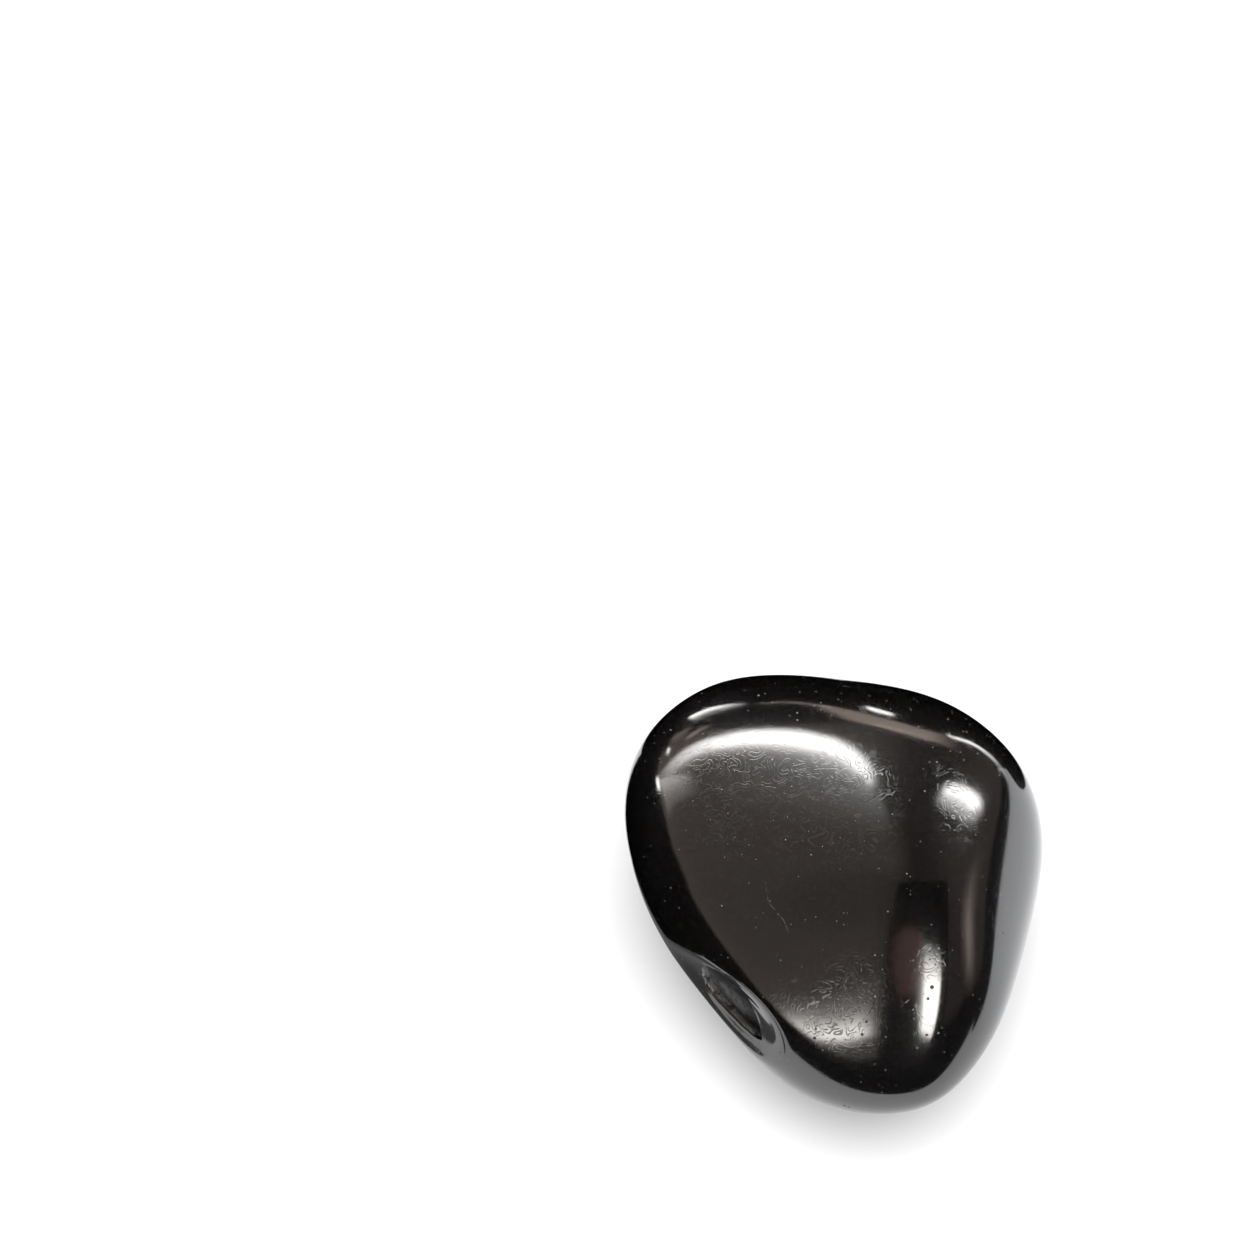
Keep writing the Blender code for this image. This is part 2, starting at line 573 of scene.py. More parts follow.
class StoneBench(NodeBench):
    """A bench whose patterns are laid out in millimetres on the stone."""

    def __init__(self, name):
        super().__init__(name)
        place = self.add("ShaderNodeTexCoord").outputs["Object"]
        self.spot = self.vector("SCALE", {0: place, "Scale": 1.0 / MM}).outputs[0]

    def vector(self, operation, inputs):
        return self.add("ShaderNodeVectorMath", inputs, operation=operation)

    def cloud(self, scale, detail=2.0, roughness=0.5, distortion=0.0):
        return self.add(
            "ShaderNodeTexNoise",
            {
                "Vector": self.spot,
                "Scale": scale,
                "Detail": detail,
                "Roughness": roughness,
                "Distortion": distortion,
            },
        ).outputs[0]

    def dots(self, scale, size, share):
        """Small round dots: a share of the cells of a lattice holds one each."""
        cells = self.add("ShaderNodeTexVoronoi", {"Vector": self.spot, "Scale": scale})
        tint = self.add(
            "ShaderNodeSeparateColor", {"Color": cells.outputs["Color"]}
        ).outputs[0]
        chosen = self.math("LESS_THAN", tint, share)
        radius = size * scale
        dot = self.ramp(cells.outputs["Distance"], radius, radius * DOT_CORE)
        return self.times(chosen, dot)

    def spots_at(self, places, form):
        """A soft round spot on the skin at each place, with its radius in millimetres."""
        places = np.array(places)
        towards = places[:, :3]
        towards = towards / np.linalg.norm(towards, axis=1)[:, None]
        middles = skin_points(towards, form) + np.array(HEART)
        spots = 0.0
        for middle, radius in zip(middles.tolist(), places[:, 3].tolist()):
            away = self.vector("DISTANCE", {0: self.spot, 1: middle}).outputs["Value"]
            spots = self.most(spots, self.ramp(away, radius, radius * HOLE_CORE))
        return spots

    def scratch_along(self, corners):
        """A fine line through the corners, fading out within its width."""
        line = 0.0
        for start, end in zip(corners, corners[1:]):
            reach = Vector(end) - Vector(start)
            offset = self.vector(
                "SUBTRACT", {0: self.spot, 1: Vector(start) + Vector(HEART)}
            ).outputs[0]
            share = self.vector(
                "DOT_PRODUCT", {0: offset, 1: reach / reach.length_squared}
            ).outputs["Value"]
            share = self.add("ShaderNodeClamp", {"Value": share}).outputs[0]
            nearest = self.vector("SCALE", {0: reach, "Scale": share}).outputs[0]
            away = self.vector("DISTANCE", {0: offset, 1: nearest}).outputs["Value"]
            mark = self.ramp(away, SCRATCH_WIDTH, SCRATCH_WIDTH * SCRATCH_CORE)
            line = self.most(line, mark)
        return line


def curly_marks(bench):
    """The level lines of a wandering cloud, broken into short strokes."""
    swirl = bench.cloud(SWIRL_PITCH, 1.0, 0.5, SWIRL_BEND)
    wave = bench.math("SINE", bench.times(swirl, 2.0 * pi * SWIRL_LINES))
    strokes = bench.ramp(bench.cloud(STROKE_PITCH, 1.0), *STROKE_LEVELS)
    marks = bench.times(bench.ramp(wave, *LINE_LEVELS), strokes)
    patches = bench.math("ADD", bench.kept("mark_share"), LEAST_MARKS)
    return bench.times(marks, bench.math("MINIMUM", patches, 1.0))


def fine_scratches(bench):
    lines = 0.0
    for corners in SCRATCHES:
        lines = bench.most(lines, bench.scratch_along(corners))
    return bench.times(lines, bench.ramp(bench.cloud(SCRATCH_PITCH), *SCRATCH_LEVELS))


def break_colour(bench, polish):
    """Dull black with pale grains, and a pale patch on the upper left part."""
    part = bench.add("ShaderNodeSeparateXYZ", {"Vector": bench.spot})
    patch = bench.ramp(bench.cloud(PATCH_PITCH, *FINE_DETAIL), *PATCH_LEVELS)
    for axis, heart, fade in (("Y", HEART[1], PATCH_FADE_Y), ("Z", HEART[2], PATCH_FADE_Z)):
        share = bench.ramp(part.outputs[axis], heart + fade[0], heart + fade[1])
        patch = bench.times(patch, share)
    grains = bench.ramp(bench.cloud(GRAIN_PITCH), *GRAIN_LEVELS)
    patch = bench.most(patch, bench.times(grains, GRAIN_SHARE))
    return bench.blend(patch, (*polish.pit_colour, 1.0), grey(PATCH_GREY))


def shungite_polish(polish, form):
    bench = StoneBench("shungite_polish")
    broken = bench.kept("break_share")
    marks = curly_marks(bench)
    pinholes = bench.most(bench.dots(*LOOSE_PINHOLES), bench.spots_at(PINHOLES, form))
    scratches = fine_scratches(bench)
    # Pale specks that paint the glints of lamps caught in tiny pits.
    painted_glints = bench.most(bench.dots(*COARSE_PAINTED_GLINTS), bench.dots(*FINE_PAINTED_GLINTS))

    relief = bench.bump(marks, polish.mark_depth)
    crumbs = bench.times(bench.cloud(CRUMB_PITCH, *FINE_DETAIL), broken)
    relief = bench.bump(crumbs, CRUMB_HEIGHT, relief, dent=False)

    dust = bench.ramp(bench.cloud(DUST_PITCH, *FINE_DETAIL), *DUST_LEVELS)
    dust = bench.times(dust, DUST_SHARE)
    colour = bench.blend(dust, (*polish.body_colour, 1.0), grey(DUST_GREY))
    for share, tint in (
        (broken, break_colour(bench, polish)),
        (painted_glints, PAINTED_GLINT_COLOUR),
        (marks, grey(MARK_GREY)),
        (scratches, grey(SCRATCH_GREY)),
        (pinholes, grey(0.0)),
    ):
        colour = bench.blend(share, colour, tint)

    roughness = polish.roughness
    for share, added in (
        (painted_glints, PAINTED_GLINT_ROUGHNESS),
        (marks, polish.mark_haze),
        (scratches, SCRATCH_ROUGHNESS),
        (pinholes, PINHOLE_ROUGHNESS),
        (broken, BREAK_ROUGHNESS),
    ):
        roughness = bench.math("ADD", roughness, bench.times(share, added))

    # The break mirrors no more than its own dull colour, like a black metal.
    return bench.finish(bench.add(
        "ShaderNodeBsdfPrincipled",
        {
            "Base Color": colour,
            "Metallic": bench.times(broken, BREAK_METAL),
            "Roughness": roughness,
            "IOR": polish.gloss_index,
            "Coat Weight": polish.haze,
            "Coat Roughness": HAZE_ROUGHNESS,
            "Coat IOR": HAZE_INDEX,
            "Normal": relief,
            "Coat Normal": relief,
        },
    ).outputs[0])


# What the polish mirrors. Every place in the room is given by its heading and its climb in
# degrees, as seen from the stone. The distances are in metres.
ROOM_DISTANCE = 3.2
ROOM_STEP = 0.75
CLOTH_DISTANCE = 3.1
CARD_DISTANCE = 3.0
LAMP_DISTANCE = 2.5
LOW_LAMP_DISTANCE = 0.035

# A low black wall around the far side and the left side of the stone. Its headings run
# from the first up to the second, with the third as their step, in degrees.
WALL_DISTANCE = 0.05
WALL_HEIGHT = 0.0185
WALL_HEADINGS = (36, 226, 3)

# Rounded bodies beside the stone: their middles from the origin and their half sizes, in
# millimetres.
BLACK_BODIES = (
    ("left_body", (-28.4, 1.5, 6.5), (12.9, 19.0, 7.5)),
    ("far_left_body", (-14.0, 30.0, 5.5), (17.6, 13.0, 6.6)),
    ("far_right_body", (20.0, 27.5, 5.5), (20.0, 13.0, 6.6)),
    ("right_body", (186.0, 20.0, 4.0), (42.0, 110.0, 20.0)),
)
# Painted shadow: a dim grey pad on the paper at the left, mirrored in the polish only.
PAINTED_SHADOW_PAD = ("painted_shadow_pad", (-20.5, -4.0, 0.0), (8.5, 12.0, 3.0))
BLACK = (0.0, 0.0, 0.0)
PAINTED_SHADOW_GREY = (0.2, 0.2, 0.2)
RED_BROWN = (0.40, 0.22, 0.18)

# A glowing sheet on the paper to the right of the stone, which only the polish mirrors:
# painted light, for the paper there that is lit brighter. Its width and its length are
# given from where to where in millimetres, with the number of places between. It fades in
# from its left edge and its near edge, and fades out towards its far edge.
PAINTED_LIGHT_SHEET = ((14.0, 150.0, 35), (-60.0, 90.0, 31))
PAINTED_LIGHT_SHEET_HEIGHT = 0.05
PAINTED_LIGHT_SHEET_GLOW = 0.36
PAINTED_LIGHT_SHEET_COLOUR = (0.92, 0.96, 1.08)
LEFT_FADE = (14.0, 24.0)
NEAR_FADE = (-45.0, -5.0)
FAR_FADE = (90.0, 40.0)

# The paper and the light above it, in metres.
PAPER_SIZE = 4.0
PAPER_GAP = 0.01 * MM
PAPER_ROUGHNESS = 0.9
FILL_SIZE = 1.6
FILL_PLACE = (0.15, -0.05, 1.3)

# How the room's brightness changes: from where to where, and by how much. The right and
# the back go by how far right or how far back a place is, as parts of its distance. The
# dim place goes by how nearly a place is in its direction. The others are in degrees.
RIGHT_FALL = (-0.06, 0.22, 0.78)
RIGHT_RISE = (0.3, 0.9, 0.22)
NEAR_SHIFT = (0.05, -0.25, 0.1)
FRONT_LEVEL = 0.85
BACK_RISE = (-0.3, 0.5, 0.3)
DIM_PLACE = (245, 73)
DIM_FALL = (0.978, 0.998, 0.25)
LEFT_GLOW = 0.45
LEFT_GLOW_CLIMB = 9.0
LEFT_GLOW_START = (120, 150)
LEFT_GLOW_END = (250, 232)
SKYLINE_EDGE = (-1.5, 2.0)

# How high the dark things on and around the table stand at each heading.
SKYLINE = (
    (-40, 25), (-32, 20), (-25, 17), (-20, 12), (-10, 6), (0, 3), (10, 2), (16, 1), (24, 0),
    (45, 0), (54, 4), (60, 12), (66, 18), (73, 24), (80, 25), (85, 25), (90, 30), (95, 33),
    (100, 33), (107, 30), (113, 24), (120, 14), (128, 9), (137, 8), (146, 11), (152, 15),
    (160, 21), (166, 28), (173, 34), (184, 41), (192, 43), (200, 41), (210, 38), (219, 32),
    (226, 27), (230, 22), (236, 21), (243, 27), (250, 33), (256, 38), (270, 42), (285, 40),
    (300, 34), (309, 30), (316, 27),
)

# The black cloth around the camera.
CAMERA_CLOTH = (
    (272, 81), (345, 71), (363, 43), (352, 44), (341, 45), (331, 46), (323, 44), (318, 39),
    (315, 34), (314, 29), (312, 22), (303, 20), (286, 20), (271, 25), (258, 35), (261, 51),
    (260, 57), (258, 63), (258, 66), (260, 71), (263, 75),
)

# A reddish brown thing beside the camera.
RED_CARD = (
    (262, 64), (273, 67), (294, 64), (287, 60), (283, 56), (278, 54), (268, 55), (263, 58),
)

# The number of places along and across a lamp, and how it fades out at its second edge.
LAMP_GRID = (49, 33)
LAST_FADE = (1.0, 0.8)


class SoftBox:
    """A bent lamp between two edges. It is brightest near its first edge and fades towards
    its second edge and its ends. A low lamp stands close to the stone, and its headings and
    climbs are seen from a line of places on the stone, in millimetres from the heart."""

    def __init__(
        self, name, colour, brightness, first, second, rise, core, fade, ends, seen_from=None
    ):
        self.name = name
        self.colour = colour
        self.brightness = brightness
        self.first = first
        self.second = second
        self.rise = rise
        self.core = core
        self.fade = fade
        self.ends = ends
        self.seen_from = seen_from

    def glow(self, along, across):
        rise = smooth_step(0.0, self.rise, across)
        fall = np.exp(-np.clip(across - self.core, 0.0, 1.0) / self.fade)
        last = smooth_step(*LAST_FADE, across)
        start = smooth_step(0.0, self.ends[0], along)
        end = smooth_step(0.0, self.ends[1], 1.0 - along)
        return self.brightness * rise * fall * last * start * end


WHITE = (1.0, 0.985, 0.97)
WARM = (1.0, 0.965, 0.925)
COOL = (0.93, 0.97, 1.0)
BEIGE = (1.0, 0.84, 0.73)
ROSE = (1.0, 0.86, 0.88)
SOFT_BOXES = (
    SoftBox(
        "far_left_box", WHITE, 14.0,
        (
            (156, 9), (150, 11), (145, 14), (140, 18), (133, 21), (126, 23), (120, 25),
            (116, 27), (111, 30), (104, 32), (99, 33), (95, 33), (91, 33), (88, 35),
            (86, 40), (84.5, 46), (84, 53),
        ),
        (
            (162, 26), (158, 34), (153, 42), (146, 48), (137, 51), (128, 52), (121, 55),
            (115, 58), (110, 60), (106, 61), (103, 62), (101, 63), (99, 65), (97, 66),
            (95, 67), (93, 66), (90, 64),
        ),
        0.16, 0.34, 0.10, (0.62, 0.06),
    ),
    SoftBox(
        "far_left_haze", COOL, 1.1,
        ((84, 44), (83, 52), (82, 60), (80, 68), (78, 78)),
        ((138, 44), (140, 52), (146, 60), (155, 68), (170, 78)),
        0.06, 0.14, 0.30, (0.2, 0.6),
    ),
    SoftBox(
        "left_haze", WARM, 2.8,
        ((150, 14), (147, 22), (143, 30), (138, 38), (131, 43)),
        ((168, 32), (163, 38), (157, 46), (150, 54), (142, 58)),
        0.1, 0.3, 0.35, (0.1, 0.5),
    ),
    SoftBox(
        "far_right_box", WHITE, 16.0,
        ((53, 41), (46, 38), (40, 33.5), (34, 28.5), (28, 22.5), (22, 16), (16, 10)),
        ((53, 52), (46, 51), (40, 48.5), (34, 45.5), (28, 41), (22, 34), (16, 25)),
        0.3, 0.42, 0.25, (0.3, 0.2),
    ),
    SoftBox(
        "near_left_box", WARM, 11.0,
        (
            (232, 18), (234, 19.5), (236.5, 21.5), (239, 24), (242, 29), (246, 35), (250, 40),
            (254, 44.5), (260, 48),
        ),
        (
            (236, 37), (239, 40), (241, 43), (243.5, 45.5), (247, 49.5), (250.5, 53),
            (254, 56), (258, 58.5), (262, 60),
        ),
        0.12, 0.26, 0.17, (0.55, 0.16),
    ),
    SoftBox(
        "near_right_box", WARM, 14.0,
        (
            (322, 53), (316, 50), (311.5, 46), (308.5, 42), (307, 38.5), (305, 35.5),
            (303, 34),
        ),
        (
            (272, 66), (268, 62), (267, 59), (269, 56.5), (272, 54), (277, 50.5), (284, 46),
        ),
        0.1, 0.6, 0.06, (0.45, 0.14),
    ),
    SoftBox(
        "low_window", WHITE, 11.0,
        ((116.5, -1), (114, 1), (111, 3), (107, 7), (102, 11), (98.5, 12.5)),
        ((116, 14.5), (114, 14.5), (111, 16), (106, 18), (101, 18.5), (98, 18)),
        0.1, 0.26, 0.16, (0.1, 0.5),
        ((-10.4, 11.0, 6.9), (-8.1, 11.6, 7.4), (-5.8, 11.7, 7.7)),
    ),
    SoftBox(
        "rose_line", ROSE, 1.7,
        (
            (98.5, 12.5), (95.5, 14), (92, 12.5), (90, 12), (89.5, 12.5), (88.5, 13.5),
            (87.5, 13.5),
        ),
        (
            (98.5, 16.5), (96, 17.5), (92.5, 15.5), (90.5, 15.5), (89.5, 16), (88.5, 17),
            (87.5, 17.5),
        ),
        0.4, 0.5, 0.3, (0.3, 0.1),
        ((-5.8, 11.7, 7.7), (-2.3, 11.6, 8.1), (0.5, 11.4, 8.2)),
    ),
    SoftBox(
        "left_shelf", BEIGE, 1.1,
        ((127, 4), (122, 6), (120, 8), (116, 9.5)),
        ((129, 12), (124, 15), (120, 16), (116, 16)),
        0.4, 0.5, 0.3, (0.3, 0.3),
    ),
    SoftBox(
        "left_shelf_edge", BEIGE, 2.6,
        ((123, 17), (119, 17), (116, 17.5), (114, 18.5), (112, 20.5)),
        ((123, 21), (119, 21), (116, 21), (114, 21.5), (112, 23)),
        0.4, 0.5, 0.3, (0.3, 0.3),
    ),
    SoftBox(
        "shelf", BEIGE, 1.9,
        (
            (88, 13.5), (87, 14), (85, 16.5), (83, 19), (80, 20), (76.5, 20.5), (73, 19.5),
            (69.5, 17.5), (65, 13.5), (61, 11),
        ),
        (
            (88, 18), (87, 22), (85, 25.5), (82.5, 27), (79, 28.5), (75.5, 29), (71.5, 28.5),
            (68, 27), (60, 25), (52, 22),
        ),
        0.12, 0.8, 0.3, (0.06, 0.35),
    ),
    SoftBox(
        "shelf_edge", BEIGE, 2.6,
        (
            (87, 21.5), (86, 22.5), (85, 24), (83.5, 24.5), (82, 25), (79.5, 25.5),
            (75.5, 25.5), (68.5, 23.5), (61, 21),
        ),
        (
            (87, 23.5), (86, 24.5), (85, 25.5), (83.5, 26.5), (82, 27.5), (79, 29),
            (75, 30), (68, 28), (60, 25),
        ),
        0.3, 0.5, 0.3, (0.1, 0.6),
    ),
    SoftBox(
        "low_strip", WHITE, 12.0,
        (
            (67.5, 13), (64.5, 11.5), (61, 6.5), (58, 1.5), (55, -2), (52.5, -4), (47.5, -6),
            (41.5, -7.5), (33, -9), (27, -9),
        ),
        (
            (67, 16), (64, 15.5), (60, 12), (56.5, 7.5), (53, 4), (49.5, 3), (44, 1.5),
            (38.5, 0), (30.5, -2), (24.5, -3),
        ),
        0.4, 0.5, 0.3, (0.1, 0.8),
        ((8.2, 8.9, 8.2), (9.2, 8.4, 8.0), (12.1, 7.3, 6.6), (12.9, 6.0, 5.9)),
    ),
    SoftBox(
        "low_dash", WHITE, 16.0,
        ((85, 7.5), (84, 9.5), (83, 11), (81, 12.5)),
        ((85, 13), (84, 15.5), (83, 16.5), (81, 17.5)),
        0.4, 0.5, 0.3, (0.2, 0.2),
        ((2.5, 11.0, 8.3), (4.6, 10.4, 8.4)),
    ),
    SoftBox(
        "left_spark", WHITE, 14.0,
        ((148.5, 9), (151.5, 9.5), (154, 12), (156.5, 16)),
        ((147.5, 15), (150.5, 17.5), (153.5, 20), (156, 22)),
        0.4, 0.5, 0.3, (0.3, 0.3),
    ),
    SoftBox(
        "small_spark", WHITE, 10.0,
        ((130, 9.5), (132, 11.5), (134.5, 13.5)),
        ((128, 14), (130, 16), (133, 17.5)),
        0.4, 0.5, 0.3, (0.3, 0.3),
    ),
    SoftBox(
        "side_window", BEIGE, 1.5,
        ((14, 4), (10, 7), (4, 10), (-3, 10), (-12, 9), (-18, 10), (-24, 14)),
        ((13, 18), (9, 22), (3, 27), (-5, 31), (-14, 31), (-20, 31), (-26, 30)),
        0.5, 0.5, 0.2, (0.5, 0.6),
    ),
)


def finish_glow(bench, light):
    """Ends a material that only the polish mirrors, so it isn't sampled as a lamp."""
    bench.material.cycles.emission_sampling = "NONE"
    return bench.finish(light)


def plain_glow(name, colour):
    """A material that gives off the same light all over, or none where it is black."""
    bench = NodeBench(name)
    light = bench.add("ShaderNodeEmission", {"Color": (*colour, 1.0), "Strength": 1.0})
    return finish_glow(bench, light.outputs[0])


def kept_glow(name, colour, clear=False):
    """A material that gives off as much light as the mesh keeps at each corner. A clear
    one also lets through what is behind it."""
    bench = NodeBench(name)
    light = bench.add(
        "ShaderNodeEmission", {"Color": (*colour, 1.0), "Strength": bench.kept("glow")}
    ).outputs[0]
    if clear:
        see_through = bench.add("ShaderNodeBsdfTransparent").outputs[0]
        light = bench.add("ShaderNodeAddShader", {0: light, 1: see_through}).outputs[0]
    return finish_glow(bench, light)


def studio_object(name, mesh, material, shown=False):
    """A piece of the studio. One that isn't shown is only mirrored in the polish."""
    thing = bpy.data.objects.new(name, mesh)
    bpy.context.scene.collection.objects.link(thing)
    thing.data.materials.append(material)
    thing.visible_camera = shown
    thing.visible_diffuse = shown
    thing.visible_shadow = shown
    return thing


def grid_card(name, places, glow):
    """A card through a grid of places, with its brightness kept at each corner."""
    rows, columns = glow.shape
    card = bmesh.new()
    layer = card.verts.layers.float.new("glow")
    corners = [card.verts.new(place) for place in places.reshape(-1, 3)]
    for corner, value in zip(corners, glow.ravel()):
        corner[layer] = value
    for row in range(rows - 1):
        for column in range(columns - 1):
            first = row * columns + column
            card.faces.new((
                corners[first],
                corners[first + 1],
                corners[first + columns + 1],
                corners[first + columns],
            ))
    mesh = bpy.data.meshes.new(name)
    card.to_mesh(mesh)
    card.free()
    return mesh


def places_towards(headings, climbs, distance, seen_from=(0.0, 0.0, 0.0)):
    """The places at this distance from the heart, or from other places on the stone."""
    level = np.cos(np.radians(climbs))
    towards = np.stack((
        level * np.cos(np.radians(headings)),
        level * np.sin(np.radians(headings)),
        np.sin(np.radians(climbs)),
    ), axis=-1)
    return (np.array(HEART) + seen_from) * MM + towards * distance


def room_glow(headings, climbs):
    """The room's brightness: dim on the right and above the camera, a little brighter at
    the back and just above the dark things on the left, and black below the skyline."""

    def step(place, change):
        low, high, amount = change
        return amount * smooth_step(low, high, place)

    towards = places_towards(headings, climbs, 1.0) - np.array(HEART) * MM
    east, north = towards[..., 0], towards[..., 1]
    level = 1.0 - step(east + step(north, NEAR_SHIFT), RIGHT_FALL) + step(east, RIGHT_RISE)
    level *= FRONT_LEVEL + step(north, BACK_RISE)
    level *= 1.0 - step(towards @ pointing(*DIM_PLACE), DIM_FALL)
    above = climbs - np.interp(headings, *zip(*SKYLINE), period=360)
    left = smooth_step(*LEFT_GLOW_START, headings) * smooth_step(*LEFT_GLOW_END, headings)
    level += LEFT_GLOW * left * np.exp(-np.clip(above, 0.0, None) / LEFT_GLOW_CLIMB)
    return level * smooth_step(*SKYLINE_EDGE, above)


def build_room(studio):
    headings, climbs = np.meshgrid(
        np.arange(0, 360.1, ROOM_STEP), np.arange(-1, 90.1, ROOM_STEP)
    )
    glow = room_glow(headings, climbs)
    mesh = grid_card("room", places_towards(headings, climbs, ROOM_DISTANCE), glow)
    studio_object("room", mesh, kept_glow("room_walls", studio.room_colour))


def along_line(share, corners):
    """The place at each share of the way along a line of corners."""
    steps = np.linspace(0, 1, len(corners))
    parts = [np.interp(share, steps, part) for part in np.array(corners, float).T]
    return np.stack(parts, axis=-1)


def hang_lamps(studio):
    along, across = np.meshgrid(*(np.linspace(0, 1, count) for count in LAMP_GRID))
    for box in SOFT_BOXES:
        seen_from = (0.0, 0.0, 0.0)
        distance = LAMP_DISTANCE
        if box.seen_from:
            seen_from = along_line(along, box.seen_from)
            distance = LOW_LAMP_DISTANCE
        edges = []
        for edge in (box.first, box.second):
            pointed = along_line(along, edge)
            edges.append(places_towards(pointed[..., 0], pointed[..., 1], distance, seen_from))
        places = edges[0] + (edges[1] - edges[0]) * across[..., None]
        glow = box.glow(along, across) * studio.lamp_brightness
        mesh = grid_card(box.name, places, glow)
        studio_object(box.name, mesh, kept_glow(box.name, box.colour, clear=True))


def flat_cloth(name, outline, distance):
    cloth = bmesh.new()
    places = places_towards(*np.array(outline, float).T, distance)
    corners = [cloth.verts.new(place) for place in places]
    heart = np.array(HEART) * MM
    middle = places.mean(axis=0) - heart
    middle = cloth.verts.new(heart + middle * distance / np.linalg.norm(middle))
    for first, second in zip(corners, corners[1:] + corners[:1]):
        cloth.faces.new((middle, first, second))
    mesh = bpy.data.meshes.new(name)
    cloth.to_mesh(mesh)
    cloth.free()
    return mesh


def dark_body(name, middle, half_sizes):
    """A dark rounded body beside the stone, which only the polish mirrors."""
    body = bmesh.new()
    bmesh.ops.create_icosphere(body, subdivisions=4, radius=1.0)
    for vertex in body.verts:
        vertex.co = [(m + h * c) * MM for m, h, c in zip(middle, half_sizes, vertex.co)]
    mesh = bpy.data.meshes.new(name)
    body.to_mesh(mesh)
    body.free()
    mesh.shade_smooth()
    return mesh


def hang_cloths(black):
    mesh = flat_cloth("camera_cloth", CAMERA_CLOTH, CLOTH_DISTANCE)
    studio_object("camera_cloth", mesh, black)
    mesh = flat_cloth("red_card", RED_CARD, CARD_DISTANCE)
    studio_object("red_card", mesh, plain_glow("red_brown_card", RED_BROWN))


def stand_dark_things(black):
    """The rounded bodies, the low wall and a grey pad of painted shadow on the paper, which
    darken the rims of the stone.
    """
    for body in BLACK_BODIES:
        studio_object(body[0], dark_body(*body), black)
    studio_object(PAINTED_SHADOW_PAD[0], dark_body(*PAINTED_SHADOW_PAD), plain_glow("painted_shadow_grey", PAINTED_SHADOW_GREY))
    headings, heights = np.meshgrid(np.arange(*WALL_HEADINGS), (0.0, WALL_HEIGHT))
    level = np.zeros(headings.shape)
    places = places_towards(headings, level, WALL_DISTANCE)
    places[..., 2] = heights
    studio_object("black_wall", grid_card("black_wall", places, level), black)


def lay_paper(studio):
    paper = bmesh.new()
    bmesh.ops.create_grid(paper, x_segments=1, y_segments=1, size=PAPER_SIZE)
    mesh = bpy.data.meshes.new("paper")
    paper.to_mesh(mesh)
    paper.free()
    bench = NodeBench("white_paper")
    material = bench.finish(bench.add(
        "ShaderNodeBsdfPrincipled",
        {
            "Base Color": (*studio.paper_colour, 1.0),
            "Roughness": PAPER_ROUGHNESS,
            "Specular IOR Level": 0.0,
        },
    ).outputs[0])
    thing = studio_object("paper", mesh, material, shown=True)
    thing.location.z = -PAPER_GAP


# Painted light: a glowing sheet that brightens the paper's reflection right of the stone.
def lay_painted_light_sheet():
    xs, ys = np.meshgrid(*(np.linspace(*side) for side in PAINTED_LIGHT_SHEET))
    fades = ((LEFT_FADE, xs), (NEAR_FADE, ys), (FAR_FADE, ys))
    glow = np.full(xs.shape, PAINTED_LIGHT_SHEET_GLOW)
    for fade, places in fades:
        glow *= smooth_step(*fade, places)
    heights = np.full(xs.shape, PAINTED_LIGHT_SHEET_HEIGHT)
    mesh = grid_card("painted_light_sheet", np.stack((xs, ys, heights), axis=-1) * MM, glow)
    material = kept_glow("painted_light_sheet", PAINTED_LIGHT_SHEET_COLOUR, clear=True)
    studio_object("painted_light_sheet", mesh, material)


def set_backdrop(studio):
    world = bpy.data.worlds.new("backdrop")
    world.use_nodes = True
    world.node_tree.nodes["Background"].inputs["Color"].default_value = (
        *studio.backdrop_colour, 1.0
    )
    bpy.context.scene.world = world
    bpy.context.scene.view_settings.view_transform = "Standard"


def hang_fill(studio):
    """An overhead light that the paper gets and the polish doesn't mirror."""
    lamp = bpy.data.lights.new("paper_fill", "AREA")
    lamp.shape = "DISK"
    lamp.size = FILL_SIZE
    lamp.energy = studio.fill_power
    thing = bpy.data.objects.new("paper_fill", lamp)
    thing.location = FILL_PLACE
    thing.visible_glossy = False
    bpy.context.scene.collection.objects.link(thing)


# The photograph is 1254 pixels wide and high, and the heart of the stone is at this pixel
# of it. A pixel there is this size at the stone.
PHOTO_WIDTH = 1254
HEART_PIXEL = (833.0, 895.0)
PIXEL_SIZE = 0.0723 * MM
SENSOR_WIDTH = 36.0
NEAREST_SEEN = 0.01
FARTHEST_SEEN = 20.0


def place_camera(studio):
    camera = bpy.data.cameras.new("camera")
    camera.lens = studio.lens
    camera.sensor_width = SENSOR_WIDTH
    distance = PHOTO_WIDTH * PIXEL_SIZE * camera.lens / camera.sensor_width
    camera.clip_start = NEAREST_SEEN
    camera.clip_end = FARTHEST_SEEN
    climb = studio.camera_climb
    up = Vector((0.0, sin(climb), cos(climb)))
    back = Vector((0.0, -cos(climb), sin(climb)))
    aside = (PHOTO_WIDTH / 2 - HEART_PIXEL[0]) * PIXEL_SIZE
    above = (HEART_PIXEL[1] - PHOTO_WIDTH / 2) * PIXEL_SIZE
    aim = Vector(HEART) * MM + Vector((aside, 0.0, 0.0)) + up * above
    thing = bpy.data.objects.new("camera", camera)
    thing.location = aim + back * distance
    thing.rotation_euler = back.to_track_quat("Z", "Y").to_euler()
    bpy.context.scene.collection.objects.link(thing)
    bpy.context.scene.camera = thing


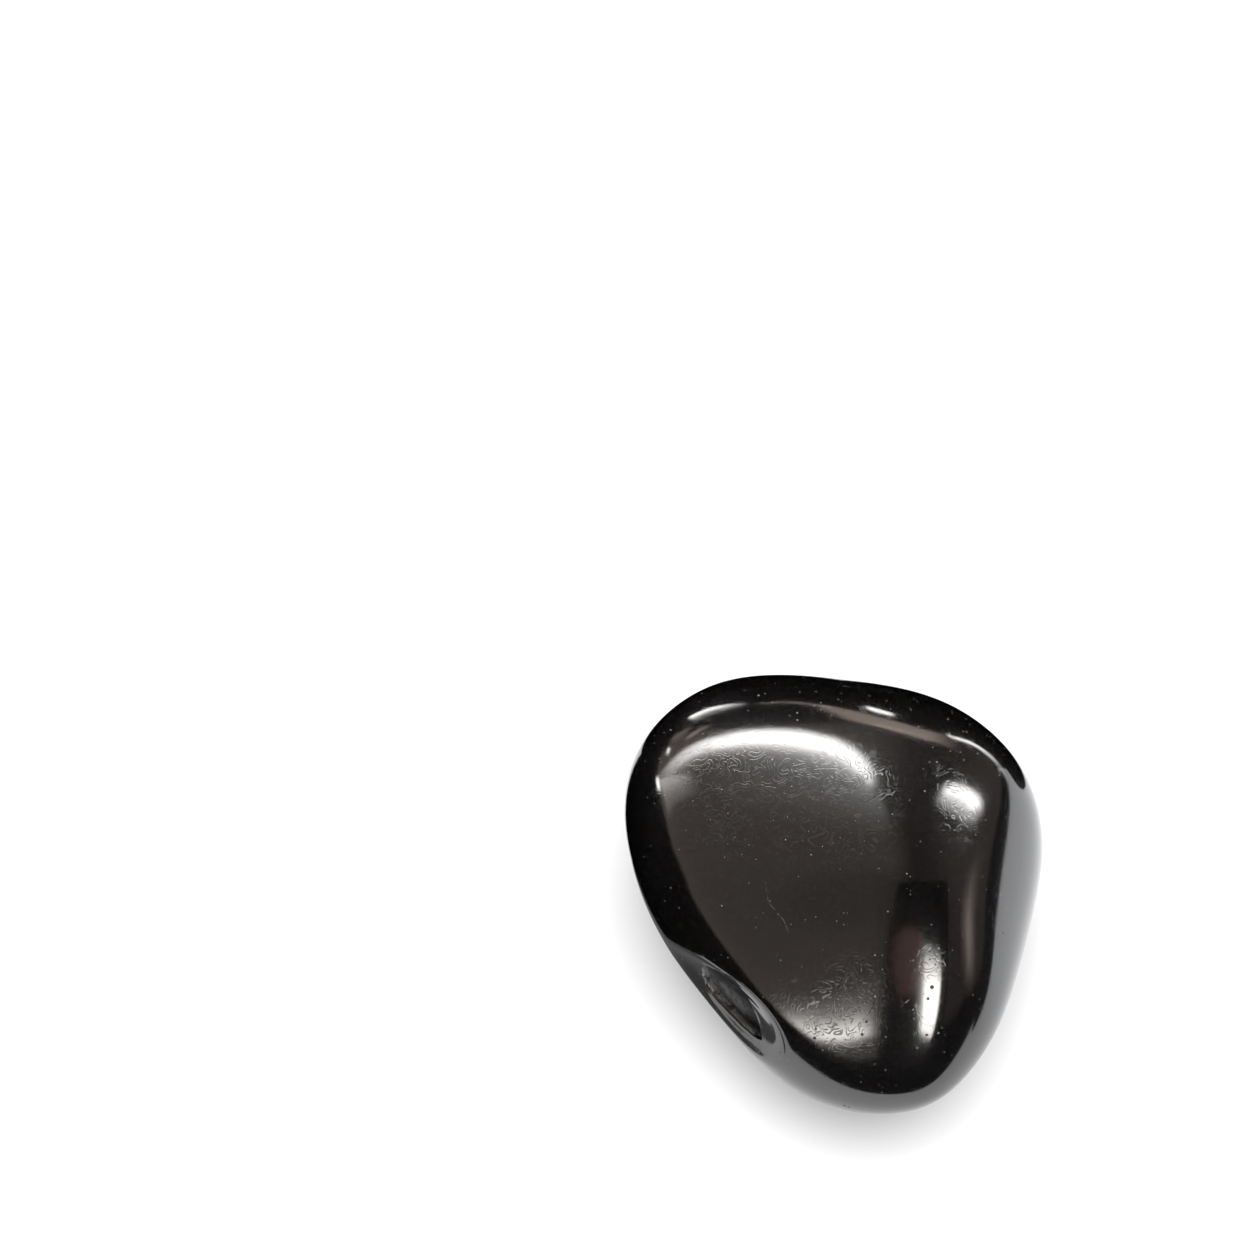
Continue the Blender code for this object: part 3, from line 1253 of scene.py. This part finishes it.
class SHUNGITE_OT_make_stone(Operator):
    """Make the polished stone with its hollow, its pit and its marks"""

    bl_idname = "shungite.make_stone"
    bl_label = "Make Stone"

    def execute(self, context):
        scene = context.scene
        form = scene.shungite_form
        stone = bpy.data.objects.new("shungite_skin", stone_mesh(form))
        stone.data.materials.append(shungite_polish(scene.shungite_polish, form))
        scene.collection.objects.link(stone)
        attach(stone, "root")
        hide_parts(STONE_NODE)
        return {"FINISHED"}


class SHUNGITE_OT_set_studio(Operator):
    """Lay the paper, hang the lamps and the cloths, and place the camera"""

    bl_idname = "shungite.set_studio"
    bl_label = "Set Studio"

    def execute(self, context):
        studio = context.scene.shungite_studio
        set_backdrop(studio)
        lay_paper(studio)
        lay_painted_light_sheet()
        build_room(studio)
        hang_lamps(studio)
        black = plain_glow("black_cloth", BLACK)
        hang_cloths(black)
        stand_dark_things(black)
        hang_fill(studio)
        place_camera(studio)
        return {"FINISHED"}


class SHUNGITE_PT_sidebar(Panel):
    bl_idname = "SHUNGITE_PT_sidebar"
    bl_label = "Shungite Pebble"
    bl_space_type = "VIEW_3D"
    bl_region_type = "UI"
    bl_category = "Shungite"

    def draw(self, context):
        groups = (
            (context.scene.shungite_form, None),
            (context.scene.shungite_polish, SHUNGITE_OT_make_stone),
            (context.scene.shungite_studio, SHUNGITE_OT_set_studio),
        )
        for group, operator in groups:
            box = self.layout.box()
            for name in group.__annotations__:
                box.prop(group, name)
            if operator:
                box.operator(operator.bl_idname)


CLASSES = (
    StoneForm,
    StonePolish,
    StudioSettings,
    SHUNGITE_OT_make_stone,
    SHUNGITE_OT_set_studio,
    SHUNGITE_PT_sidebar,
)


def register():
    for kind in CLASSES:
        bpy.utils.register_class(kind)
    bpy.types.Scene.shungite_form = PointerProperty(type=StoneForm)
    bpy.types.Scene.shungite_polish = PointerProperty(type=StonePolish)
    bpy.types.Scene.shungite_studio = PointerProperty(type=StudioSettings)


def unregister():
    del bpy.types.Scene.shungite_studio
    del bpy.types.Scene.shungite_polish
    del bpy.types.Scene.shungite_form
    for kind in reversed(CLASSES):
        bpy.utils.unregister_class(kind)


def main():
    register()
    bpy.ops.shungite.make_stone()
    bpy.ops.shungite.set_studio()


if __name__ == "__main__":
    main()
